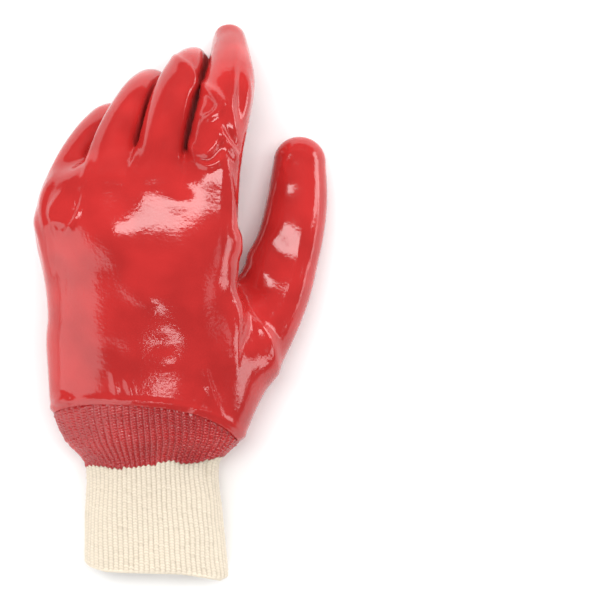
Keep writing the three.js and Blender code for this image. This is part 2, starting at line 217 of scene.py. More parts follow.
class GloveSkin:
    """The outer skin from hem to knuckles, as rounded sections across the hand."""

    WRIST = np.array([
        [-0.5, -0.552, 0.520, -0.065, 1.00, 2.5, 0],
        [0.0, -0.550, 0.482, -0.065, 0.97, 2.5, 0],
        [0.5, -0.545, 0.455, -0.050, 1.00, 2.5, 0],
    ])
    HAND = np.array([
        [0.087, -0.472, 0.417, 0.000, 0.576, 2.4, 0.00],
        [0.195, -0.529, 0.458, 0.015, 0.682, 2.3, 0.02],
        [0.350, -0.545, 0.479, 0.045, 0.773, 2.3, 0.05],
        [0.474, -0.550, 0.443, 0.091, 0.848, 2.3, 0.08],
        [0.606, -0.526, 0.406, 0.136, 0.909, 2.3, 0.10],
        [0.715, -0.531, 0.396, 0.197, 0.955, 2.3, 0.12],
        [0.808, -0.562, 0.388, 0.273, 0.977, 2.3, 0.13],
        [0.901, -0.562, 0.375, 0.364, 0.977, 2.3, 0.13],
        [1.000, -0.500, 0.359, 0.455, 0.947, 2.3, 0.12],
    ])
    # Shares of the wrist's width.
    HEM_SLANT = 0.037
    DIP_SLANT = 0.025
    # Shares of the hand's length, length, width and knuckle height, and the cosine where it is highest.
    SEAM_MIDDLE = 0.15
    SEAM_TOP = 0.203
    SEAM_BOW = 0.08
    SEAM_RISE = 0.045
    SEAM_PEAK = -0.43
    FINE_ANGLES = 8001

    def __init__(self, sizes: GloveSizes) -> None:
        """Turns the tables' shares into millimetres: along, left, right, bottom, top, squareness, lean.

        Args:
            sizes: The glove's sizes.
        """
        self.sizes = sizes
        wrist, hand = self.WRIST.copy(), self.HAND.copy()
        wide, high = sizes.wrist_width, sizes.wrist_height
        wrist[:, :5] *= [sizes.wrist_length, wide, wide, high, high]
        wide, high = sizes.hand_width, sizes.knuckle_height
        hand[:, :5] *= [sizes.hand_length, wide, wide, high, high]
        hand[:, 0] += sizes.dip_line
        self.rows = np.vstack([wrist, hand])

    def sections(self, y: Array) -> tuple[Array, ...]:
        """The section at each y.

        Args:
            y: Places along the glove.

        Returns:
            Middle x, middle z, half width, half height, squareness and lean.
        """
        along = self.rows[:, 0]
        t = np.interp(y, along, np.arange(len(along)))
        row = spline(self.rows, t)
        left, right, bottom, top = row[..., 1], row[..., 2], row[..., 3], row[..., 4]
        return ((left + right) / 2, (bottom + top) / 2, (right - left) / 2, (top - bottom) / 2,
                row[..., 5], row[..., 6])

    def point(self, y: Array, angle: Array, inset: Array, floor: float) -> Array:
        """Points of the skin.

        Across and up are the cosine and sine to the power of two over the squareness, times the half width
        and half height, and lean lifts a point by a share of its place across.

        Args:
            y: Places along the glove.
            angle: Angles round it.
            inset: How far the points are moved in.
            floor: The height they are kept above.

        Returns:
            Rows of x, y, z.
        """
        middle_x, middle_z, half_width, half_height, squareness, lean = self.sections(y)
        across = signed_power(np.cos(angle), 2 / squareness) * (half_width - inset)
        up = signed_power(np.sin(angle), 2 / squareness) * (half_height - inset)
        z = middle_z + up + lean * across
        return np.stack([middle_x + across, y + 0 * across, np.maximum(z, floor)], axis=-1)

    def distance(self, x: Array, y: Array, z: Array) -> Array:
        """About how far each point is outside the skin.

        It is the way to the section's middle, times one less one over the point's size in units of the
        section.

        Args:
            x: Places across.
            y: Places along.
            z: Heights.

        Returns:
            The distances, less than nothing inside.
        """
        middle_x, middle_z, half_width, half_height, squareness, lean = self.sections(y)
        past = np.maximum(y - self.sizes.knuckle_line, 0)
        across = x - middle_x
        up = z - middle_z - lean * across
        size = (np.abs(across / half_width) ** squareness + np.abs(up / half_height) ** squareness
                + (past / self.sizes.knuckle_round) ** squareness) ** (1 / squareness) + SMALL
        return np.sqrt(across**2 + up**2 + past**2) * (1 - 1 / size)

    def turn_at(self, x: Array, z: Array) -> tuple[Array, Array]:
        """The angle round the skin, measured at the section where the seam lies.

        Args:
            x: Places across.
            z: Heights.

        Returns:
            Its cosine and its sine.
        """
        seam_y = np.full_like(x, self.sizes.dip_line + self.SEAM_MIDDLE * self.sizes.hand_length)
        middle_x, middle_z, half_width, half_height, squareness, _ = self.sections(seam_y)
        cosine = signed_power((x - middle_x) / half_width, squareness / 2)
        sine = signed_power((z - middle_z) / half_height, squareness / 2)
        size = np.sqrt(cosine**2 + sine**2) + SMALL
        return cosine / size, sine / size

    def hem(self, cosine: Array) -> Array:
        """The lower end of the knit wrist."""
        return -self.sizes.wrist_length / 2 - self.HEM_SLANT * self.sizes.wrist_width * cosine

    def dip(self, cosine: Array) -> Array:
        """The lower edge of the coating."""
        return self.sizes.dip_line + self.DIP_SLANT * self.sizes.wrist_width * cosine

    def seam(self, cosine: Array, sine: Array) -> Array:
        """Where the smooth hand starts: highest towards the little finger, and higher on the back."""
        bow = self.SEAM_BOW * self.sizes.hand_width * (cosine - self.SEAM_PEAK) ** 2
        return (self.sizes.dip_line + self.SEAM_TOP * self.sizes.hand_length - bow
                + self.SEAM_RISE * self.sizes.knuckle_height * sine)

    def even_angles(self, count: int) -> Array:
        """Angles that stand at equal distances round the section at the dip line.

        Args:
            count: How many.

        Returns:
            The angles.
        """
        fine = np.linspace(0, 2 * np.pi, self.FINE_ANGLES)
        points = self.point(np.full_like(fine, self.sizes.dip_line), fine, 0, 0)
        steps = np.linalg.norm(np.diff(points, axis=0), axis=1)
        distance = np.concatenate([[0], np.cumsum(steps)])
        return np.interp(np.arange(count) / count * distance[-1], distance, fine)


SKIN = GloveSkin(SIZES)


@dataclass(frozen=True)
class Digit:
    """A finger or the thumb as an oval tube along its spine.

    Attributes:
        length: Its length before it bends, in millimetres.
        width: Its width before it bends.
        turn: The way across it, in degrees from +X.
        root: Its root's place across the hand, in millimetres.
        start: Its root's place past the dip line, as a share of the hand's length.
        rows: Across, along, height, wide and deep: shares of the length, the drop from the knuckles to the
            ground, and half the width.
    """

    # Places looked at on the spine, of which every third is tried first, and what lies too far to count.
    PLACES = 160
    STRIDE = 3
    REACH = 14
    FAR = 40.0

    length: float
    width: float
    turn: float
    root: float
    start: float
    rows: tuple[tuple[float, ...], ...]

    def spine(self, sizes: GloveSizes) -> Array:
        """Places at equal steps along the middle of the digit.

        Args:
            sizes: The glove's sizes.

        Returns:
            Centre x, y, z, half width and half depth at each place, in millimetres.
        """
        table = np.array(self.rows)
        row = spline(table, np.linspace(0, len(table) - 1, self.PLACES))
        deep = row[:, 4] * self.width / 2
        x = self.root + row[:, 0] * self.length
        y = sizes.dip_line + self.start * sizes.hand_length + row[:, 1] * self.length
        z = deep + row[:, 2] * (sizes.knuckle_height - deep)
        return np.stack([x, y, z, row[:, 3] * self.width / 2, deep], axis=1)

    def distance(self, points: Array, sizes: GloveSizes) -> Array:
        """About how far each point is outside the digit.

        The nearest place on the spine is found first. The point's offset from there, in units of the half
        width, half depth and half-round end, gives its size, and the distance is the offset's length
        times one less one over that size.

        Args:
            points: Rows of x, y, z.
            sizes: The glove's sizes.

        Returns:
            The distances, FAR for a point more than REACH outside the digit's box.
        """
        spine = self.spine(sizes)
        centre = spine[:, :3]
        pace = np.gradient(centre, axis=0)
        speed = np.linalg.norm(pace, axis=1)
        along = pace / speed[:, None]
        side = np.array([math.cos(math.radians(self.turn)), math.sin(math.radians(self.turn)), 0])
        across = side - (along @ side)[:, None] * along
        across /= np.linalg.norm(across, axis=1)[:, None]
        up = np.cross(across, along)
        near = within(points, centre, spine[:, 3].max() + self.REACH)
        p = points[near]
        index, _ = nearest(p, centre, self.STRIDE)
        place = index + ((p - centre[index]) * along[index]).sum(1) / speed[index]
        place = np.clip(place, 0, self.PLACES - 1)
        low = np.minimum(place.astype(int), self.PLACES - 2)
        share = (place - low)[:, None]
        table = np.hstack([spine, along, across, up])
        row = table[low] * (1 - share) + table[low + 1] * share
        offset = p - row[:, :3]
        along_part = (offset * row[:, 5:8]).sum(1)
        across_part = (offset * row[:, 8:11]).sum(1)
        up_part = (offset * row[:, 11:14]).sum(1)
        half_round = (row[:, 3] + row[:, 4]) / 2
        size = np.sqrt((across_part / row[:, 3]) ** 2 + (up_part / row[:, 4]) ** 2
                       + (along_part / half_round) ** 2) + SMALL
        result = np.full(len(points), self.FAR)
        result[near] = np.linalg.norm(offset, axis=1) * (1 - 1 / size)
        return result


DIGITS = {
    "thumb": Digit(115, 30, -33, 0.156 * SIZES.hand_width, 0.118, (
        (0, 0, 0.11, 1.27, 1.1), (0.122, 0.2, 0.09, 1.39, 1.17), (0.252, 0.4, 0.1, 1.32, 1.07),
        (0.349, 0.591, 0.08, 1.2, 0.97), (0.414, 0.783, 0.05, 1.06, 0.9), (0.448, 0.957, 0.02, 0.97, 0.83),
        (0.459, 1.125, 0, 0.84, 0.78))),
    "index": Digit(125, 26, -12, 20.968, 0.707, (
        (0, 0, 0.57, 0.92, 0.92), (0.034, 0.24, 0.72, 0.96, 1), (0.06, 0.464, 0.75, 1, 1.02),
        (0.087, 0.6, 0.66, 0.99, 1), (0.108, 0.72, 0.48, 0.93, 0.92), (0.108, 0.816, 0.23, 0.76, 0.81),
        (0.102, 0.884, 0, 0.62, 0.69))),
    "middle": Digit(122, 24, -16, -4.032, 0.691, (
        (0, 0, 0.62, 1.02, 1.08), (0.038, 0.23, 0.67, 1.1, 1.1), (0.077, 0.484, 0.65, 1.13, 1.1),
        (0.113, 0.656, 0.55, 1.1, 1.03), (0.148, 0.762, 0.4, 1.01, 0.97), (0.168, 0.812, 0.22, 0.86, 0.88),
        (0.172, 0.822, 0, 0.77, 0.82))),
    "ring": Digit(112, 23, -21, -27.532, 0.668, (
        (0.004, 0, 0.5, 1, 1.04), (0.014, 0.223, 0.56, 1.02, 1.09), (0.052, 0.455, 0.56, 1.05, 1.09),
        (0.113, 0.64, 0.47, 1.03, 1.03), (0.172, 0.765, 0.33, 0.96, 0.96), (0.206, 0.822, 0.14, 0.89, 0.9),
        (0.216, 0.836, 0, 0.81, 0.82))),
    "little": Digit(96, 23, -30, -50.532, 0.629, (
        (0.13, 0, 0.31, 1.04, 1.09), (0.075, 0.26, 0.37, 1.04, 1.09), (0.063, 0.438, 0.39, 1, 1.06),
        (0.119, 0.612, 0.33, 0.93, 0.97), (0.193, 0.748, 0.22, 0.89, 0.89), (0.255, 0.836, 0.09, 0.83, 0.83),
        (0.281, 0.862, 0, 0.79, 0.8))),
}


CAMERA = (67.9, 104.1, 1430.0)
SIGHT_HEIGHT = 30.0


def from_above(points: Array) -> Array:
    """Where the camera sees points.

    Args:
        points: Rows of x, y, z.

    Returns:
        Rows of x and y on the level plane at the sight height.
    """
    camera = np.array(CAMERA)
    stretch = (camera[2] - SIGHT_HEIGHT) / (camera[2] - points[:, 2:3])
    return camera[:2] + (points[:, :2] - camera[:2]) * stretch


@dataclass(frozen=True)
class Fold:
    """A ridge in the coating, or a crease where its heights are negative.

    Attributes:
        name: Where on the glove it lies.
        rows: Places along it as seen from above: x, y, height, and how wide it is to its left and right.
    """

    # Steps looked at between two rows, widths after which a fold is over, and how soon its sides swap.
    STEPS = 14
    REACH = 3
    SWAP = 0.6

    name: str
    rows: tuple[tuple[float, ...], ...]

    def rise(self, seen: Array) -> Array:
        """How far the fold raises the coating.

        The height times e to the minus square of distance over width, both taken at the nearest place on
        the fold, the width on the side of the fold where the point lies.

        Args:
            seen: Places seen from above, as rows of x and y.

        Returns:
            The rise at each.
        """
        rows = np.array(self.rows)
        fine = spline(rows, np.linspace(0, len(rows) - 1, self.STEPS * (len(rows) - 1) + 1))
        near = within(seen, rows[:, :2], self.REACH * rows[:, 3:].max())
        p = seen[near]
        index, best = nearest(p, fine[:, :2])
        heading = np.gradient(fine[:, :2], axis=0)[index]
        offset = p - fine[index, :2]
        right = heading[:, 1] * offset[:, 0] - heading[:, 0] * offset[:, 1]
        span = np.linalg.norm(heading, axis=1) + SMALLER
        swing = smooth_step(-self.SWAP, self.SWAP, right / span)
        width = fine[index, 3] * (1 - swing) + fine[index, 4] * swing
        result = np.zeros(len(seen))
        result[near] = fine[index, 2] * np.exp(-best / width**2)
        return result


@dataclass(frozen=True)
class Dent:
    """A shallow hollow, or a swelling where its depth is negative, oval as seen from above.

    Attributes:
        place: x and y of its middle.
        depth: How deep it is, in millimetres.
        spread: Its reach along and across its own direction.
        turn: Its direction, in degrees from +X.
    """

    place: tuple[float, float]
    depth: float
    spread: tuple[float, float]
    turn: float = 0

    def rise(self, seen: Array) -> Array:
        """Minus the depth times e to the minus square of the distance in spreads.

        Args:
            seen: Places seen from above, as rows of x and y.

        Returns:
            The rise at each.
        """
        cosine, sine = math.cos(math.radians(self.turn)), math.sin(math.radians(self.turn))
        offset = seen - np.array(self.place)
        along = (offset[:, 0] * cosine + offset[:, 1] * sine) / self.spread[0]
        across = (offset[:, 1] * cosine - offset[:, 0] * sine) / self.spread[1]
        return -self.depth * np.exp(-(along**2) - across**2)


FOLDS = (
    Fold("web_ridge", (
        (37.5, 122.1, 0, 3, 4), (37.5, 111.2, 1.6, 3, 5), (39.4, 101.7, 2.4, 3, 7), (44.2, 94.6, 3, 3.4, 10),
        (49.9, 89.3, 3.2, 3.6, 12), (53.2, 82.7, 3, 3.6, 12), (55.1, 74.6, 2.2, 3.2, 11), (56.5, 66.1, 1, 3, 8),
        (56.5, 59.4, 0, 3, 6))),
    Fold("palm_rim", (
        (32.3, 176.3, 0, 1.5, 6), (34.2, 161.5, 1.6, 1.6, 9), (35.9, 142.5, 2.2, 1.6, 10),
        (36.8, 127.8, 2, 1.6, 10), (37, 113.6, 1.6, 1.6, 9), (37.5, 89.8, 1.2, 1.6, 7), (38, 63.7, 0, 1.5, 4))),
    Fold("palm_bulge", (
        (38.5, 139.2, 0, 4, 4), (39.9, 133.5, 2.2, 4, 4), (40.4, 127.8, 2.2, 4, 4), (39.4, 122.1, 0, 4, 4))),
    Fold("side_a", (
        (-46.1, 168.2, 0, 1.6, 1.6), (-52.7, 156.3, 1.1, 1.6, 1.8), (-54.4, 146.8, 1.3, 1.6, 1.8),
        (-52.2, 134.9, 1.1, 1.6, 1.8), (-50.8, 122.1, 0.7, 1.6, 1.8), (-50.3, 111.2, 0, 1.6, 1.6))),
    Fold("side_b", (
        (-42.3, 158.2, 0, 1.6, 1.6), (-47.5, 151.6, 1, 1.6, 1.8), (-50.3, 145.4, 1.2, 1.6, 1.8),
        (-48.9, 138.3, 0.8, 1.6, 1.6), (-47, 132.6, 0, 1.6, 1.6))),
    Fold("side_c", (
        (-57.5, 149.2, 0, 1.6, 1.6), (-57.2, 141.1, 1, 1.6, 1.6), (-55.1, 133.5, 1.2, 1.6, 1.6),
        (-53.2, 124, 0.9, 1.6, 1.6), (-51.5, 111.2, 0, 1.6, 1.6))),
    Fold("pucker_a", (
        (-49.9, 142.5, 0, 1.2, 1.2), (-47, 141.6, 0.8, 1.3, 1.3), (-43.2, 140.2, 0.8, 1.3, 1.3),
        (-39.9, 138.3, 0, 1.2, 1.2))),
    Fold("pucker_b", (
        (-46.1, 136.4, 0, 1.2, 1.2), (-43.2, 136.8, 0.7, 1.3, 1.3), (-40.4, 140.2, 0.8, 1.3, 1.3),
        (-37.5, 145.9, 0.5, 1.3, 1.3), (-36.6, 149.7, 0, 1.2, 1.2))),
    Fold("ring_edge", (
        (-20.9, 197.6, 0, 1.2, 1.4), (-28.5, 183.4, 0.7, 1.2, 1.6), (-32.8, 169.1, 0.9, 1.2, 1.8),
        (-35.6, 153.9, 1, 1.2, 1.8), (-38.9, 143, 0.9, 1.2, 1.6), (-43.2, 135.4, 0, 1.2, 1.2))),
    Fold("little_groove", (
        (-32.8, 164.9, 0, 1.5, 1.5), (-36.6, 153.9, -1.2, 1.8, 1.5), (-39.4, 145.4, -1.2, 1.8, 1.5),
        (-42.8, 138.3, 0, 1.5, 1.5))),
    Fold("middle_edge", (
        (-2.4, 207.6, 0, 1.2, 1.4), (-7.1, 195.3, 0.7, 1.2, 1.6), (-9, 182.4, 0.8, 1.2, 1.6),
        (-10.9, 170.6, 0.8, 1.2, 1.4), (-13.8, 163.9, 0, 1.2, 1.2))),
    Fold("middle_bend", (
        (4.3, 221.9, 0, 1.4, 2.2), (9.5, 219, 0.9, 1.5, 2.4), (15.7, 214.3, 1.1, 1.5, 2.6),
        (18.5, 206.7, 1, 1.5, 2.2), (19, 200, 0, 1.5, 1.8))),
    Fold("s_fold", (
        (19.5, 208.6, 0, 1.8, 2.2), (23.8, 205.2, 1.6, 2, 3), (28.5, 201, 2.3, 2.2, 3.4),
        (30.6, 196.2, 2.3, 2, 3.2), (26.6, 191.2, 1.8, 1.8, 2.8), (20.4, 189.6, 0, 1.6, 2))),
    Fold("s_crease", (
        (21.8, 202.9, 0, 1.4, 1.4), (25.2, 199.5, -0.9, 1.4, 1.4), (26.6, 196.2, -1, 1.4, 1.4),
        (23.3, 193.4, -0.7, 1.4, 1.4), (19.5, 192.9, 0, 1.4, 1.4))),
    Fold("crotch_a", (
        (14.7, 182.9, 0, 1.3, 1.5), (16.6, 175.8, 1, 1.3, 1.6), (21.8, 172.9, 1.3, 1.3, 1.7),
        (28, 178.6, 1.2, 1.3, 1.6), (30.4, 186.2, 0.8, 1.3, 1.5), (29.4, 191.5, 0, 1.3, 1.3))),
    Fold("crotch_b", (
        (15.7, 174.4, 0, 1.4, 1.6), (19.9, 170.1, 1, 1.4, 1.8), (24.7, 168.2, 1.2, 1.4, 1.8),
        (30.4, 171.5, 1.1, 1.4, 1.7), (33.2, 178.6, 0, 1.4, 1.4))),
    Fold("crotch_crease", (
        (16.1, 174.8, 0, 1.3, 1.3), (20.9, 171.5, -1.1, 1.4, 1.4), (25.2, 171, -1.2, 1.4, 1.4),
        (29.9, 175.8, -1, 1.4, 1.4), (31.8, 182.9, 0, 1.3, 1.3))),
    Fold("vee", (
        (27.1, 189.6, 0, 1.6, 2.6), (29.9, 184.3, 1.6, 1.6, 3), (33.7, 179.1, 1.8, 1.6, 3),
        (37, 174.4, 1.2, 1.6, 2.4), (38.9, 167.7, 0, 1.6, 2))),
    Fold("vee_crease", (
        (30.9, 188.6, 0, 1.4, 1.4), (34.2, 182.9, -1.1, 1.5, 1.5), (37, 177.7, -1, 1.5, 1.5),
        (38.9, 172.5, 0, 1.4, 1.4))),
    Fold("index_edge", (
        (39.4, 227.6, 0, 1.8, 2), (37.5, 217.1, 0.9, 1.8, 2.2), (36.1, 205.2, 1.2, 1.8, 2.4),
        (35.1, 197.2, 1.3, 1.8, 2.4), (36.6, 187.2, 1, 1.8, 2.2), (38.5, 177.7, 0, 1.8, 2))),
    Fold("index_dip", (
        (39.4, 218.1, 0, 2, 2), (39.4, 207.6, -0.9, 2, 2), (39.4, 197.2, -1, 2, 2), (39.4, 188.6, 0, 2, 2))),
    Fold("index_out", (
        (41.3, 215.2, 0, 1.8, 2), (42.8, 207.6, 1.2, 1.8, 2.2), (43, 200, 1.3, 1.8, 2.2),
        (41.8, 193.4, 0.8, 1.8, 2), (40.9, 188.6, 0, 1.8, 2))),
    Fold("tip_rim", (
        (27.5, 229.5, 0, 1.2, 1.2), (30.4, 232.8, 0.9, 1.2, 1.5), (35.6, 233.7, 1, 1.2, 1.6),
        (39.9, 230.9, 0.9, 1.2, 1.5), (42.3, 224.7, 0, 1.2, 1.2))),
    Fold("low_streak_d", (
        (-21.8, 71.8, 0, 1.2, 1.4), (-20.4, 67, 0.5, 1.2, 1.5), (-19.5, 61.3, 0.5, 1.2, 1.5),
        (-18.5, 54.7, 0, 1.2, 1.4))),
    Fold("low_streak_e", (
        (-15.2, 69.4, 0, 1.3, 1.5), (-13.8, 65.1, 0.5, 1.3, 1.6), (-12.3, 59.9, 0.5, 1.3, 1.6),
        (-11.4, 54.7, 0, 1.3, 1.4))),
    Fold("low_streak_f", (
        (21.4, 76.5, 0, 1.6, 2), (23.3, 68.9, 0.7, 1.6, 2.2), (25.6, 61.3, 0.8, 1.6, 2.4),
        (29, 52.8, 0.5, 1.6, 2), (31.8, 48, 0, 1.6, 2))),
    Fold("low_fold_g", (
        (13.8, 43.3, 0, 2, 2.5), (17.6, 49.9, 0.6, 2.2, 3), (20.4, 55.6, 0.6, 2.2, 3),
        (22.3, 62.3, 0, 2, 2.5))),
    Fold("thumb_rim", (
        (67.5, 175.8, 0, 1.2, 1.2), (62.7, 174.4, 0.5, 1.2, 1.4), (60.1, 170.6, 0.5, 1.2, 1.5),
        (60.3, 166.8, 0.5, 1.2, 1.4), (62.2, 163.4, 0, 1.2, 1.2))),
    Fold("knuckle_line", (
        (-33.7, 155.8, 0, 2, 6), (-27.1, 155.8, 0.4, 2, 7), (-17.6, 155.6, 0.4, 2, 7), (-5.7, 155.8, 0.4, 2, 7),
        (3.8, 156.3, 0.3, 2, 6), (9.5, 156.8, 0, 2, 5))),
    Fold("seam_dome", (
        (-48.9, 54.2, 0, 2.4, 2.4), (-46.5, 56.6, 1.6, 2.6, 2.6), (-43.2, 57, 1.8, 2.6, 2.6),
        (-40.4, 54.7, 0, 2.4, 2.4))),
)

DENTS = (
    Dent((44.5, 110), 3, (7, 12), 80),
    Dent((10, 151.6), -1.2, (7, 6)),
    Dent((-19.5, 133.5), -1.2, (9, 12)),
    Dent((-2.4, 104.1), -0.6, (9, 5)),
    Dent((1.4, 83.7), 0.4, (9, 5)),
    Dent((5.2, 73.7), -0.3, (8, 5), 25),
    Dent((22.8, 65.1), 0.5, (5, 8)),
    Dent((-18.5, 79.4), 0.4, (6, 6)),
    Dent((60.3, 160.1), -0.75, (5.5, 5)),
    Dent((58.4, 125.9), 2.6, (8, 11)),
    Dent((72.2, 122.1), 0.8, (5, 10)),
)


class HandForm:
    """The smooth form of the dipped hand, as a field of distances on a block of points."""

    LOW = (-70.0, 12.0, -3.0)
    HIGH = (85.0, 246.0, 72.0)
    # How far corners are filled: where a finger is cut back by its neighbour, at the knuckles, at the thumb.
    GAP_ROUND = 5.0
    KNUCKLE_FILL = 9
    THUMB_FILL = 8
    # The least and greatest slope that the field is divided by to make it even.
    SLOPES = (0.35, 3)
    # The sampled places stay this many cells inside the block's far faces.
    MARGIN = 1.001
    # The grid's value where it stores none.
    FAR = 30.0

    def __init__(self, sizes: GloveSizes, skin: GloveSkin, step: float, gap: float) -> None:
        """Works out the field.

        Args:
            sizes: The glove's sizes.
            skin: The skin of palm and back.
            step: Distance between the field's points, in millimetres.
            gap: Distance kept between neighbouring fingers, in millimetres.
        """
        self.step = step
        self.low = np.array(self.LOW)
        count = np.ceil((np.array(self.HIGH) - self.low) / step).astype(int)
        x, y, z = (self.low[i] + step * np.arange(count[i]) for i in range(3))
        block = np.stack(np.meshgrid(x, y, z, indexing="ij"), axis=-1).reshape(-1, 3)
        palm = skin.distance(x[:, None, None], y[None, :, None], z[None, None, :])
        digits = {name: digit.distance(block, sizes).reshape(count) for name, digit in DIGITS.items()}
        fingers = ["index", "middle", "ring", "little"]
        parted = {name: digits[name] for name in fingers}
        for front, behind in zip(fingers, fingers[1:]):
            parted[behind] = -smooth_least(-parted[behind], digits[front] - gap, self.GAP_ROUND)
        form = smooth_least(palm, digits["thumb"], self.THUMB_FILL)
        rooted = palm
        for name in fingers:
            form = np.minimum(form, smooth_least(rooted, parted[name], self.KNUCKLE_FILL))
        form = np.maximum(form, -z[None, None, :])
        form = np.maximum(form, self.low[1] + 2 * step - y[None, :, None])
        slopes = np.gradient(form, step)
        self.field = form / np.clip(np.sqrt(sum(part**2 for part in slopes)), *self.SLOPES)
        self.slopes = np.stack(np.gradient(self.field, step), axis=-1)

    def sample(self, values: Array, points: Array) -> Array:
        """Values between the block's points, weighted by nearness along each axis.

        Args:
            values: A value or a row of values for each of the block's points.
            points: Rows of x, y, z.

        Returns:
            The value or row at each point.
        """
        place = np.clip((points - self.low) / self.step, 0, np.array(values.shape[:3]) - self.MARGIN)
        corner = place.astype(int)
        share = place - corner
        result = 0
        for i in (0, 1):
            for j in (0, 1):
                for k in (0, 1):
                    weight = np.prod(np.where([i, j, k], share, 1 - share), axis=1)
                    found = values[corner[:, 0] + i, corner[:, 1] + j, corner[:, 2] + k]
                    result = result + (weight[:, None] if found.ndim > 1 else weight) * found
        return result

    def outward(self, points: Array) -> Array:
        """The way out of the form at each point, one millimetre long."""
        slope = self.sample(self.slopes, points)
        return slope / (np.linalg.norm(slope, axis=1, keepdims=True) + SMALLER)

    def surface(self, inset: float) -> tuple[Array, Array]:
        """The closed surface below the skin, moved twice more along its slope to lie true.

        Args:
            inset: How far below.

        Returns:
            Points in millimetres and four-cornered faces.
        """
        grid = openvdb.FloatGrid(self.FAR)
        grid.copyFromArray((self.field + inset).astype(np.float32))
        points, faces = grid.convertToQuads(0.0)
        points = points.astype(float) * self.step + self.low
        corners = points[faces]
        middle = corners.mean(axis=1) - points.mean(axis=0)
        outward = np.cross(corners[:, 2] - corners[:, 0], corners[:, 3] - corners[:, 1])
        if (middle * outward).sum() < 0:
            faces = faces[:, ::-1]
        for _ in range(2):
            points -= (self.sample(self.field, points) + inset)[:, None] * self.outward(points)
        points[:, 2] = np.maximum(points[:, 2], inset)
        return points, faces.astype(int)


class Side(Enum):
    """A side of the hand's wall, with the number of its finish."""

    OUTER = 0
    INNER = 1


@dataclass
class Part:
    """A sub-assembly of the glove.

    Attributes:
        sizes: The glove's sizes.
        skin: The glove's outer skin.
        node: The CAD node that it stands for.
        slot: The name of its finish in the parts' table; not used.
        finishes: Its materials, in the order that its faces number them.
    """

    sizes: GloveSizes
    skin: GloveSkin
    node: str
    slot: str
    finishes: tuple[bpy.types.Material, ...]

    def dress(self, piece: bpy.types.Object) -> None:
        """Gives the piece its finishes and body, hides its CAD node's part, and reports it.

        Args:
            piece: The built piece.
        """
        for finish in self.finishes:
            piece.data.materials.append(finish)
        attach(piece, "root")
        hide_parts(self.node)
        triangles = sum(len(face.vertices) - 2 for face in piece.data.polygons)
        LOG.info("%s: %d triangles", piece.name, triangles)


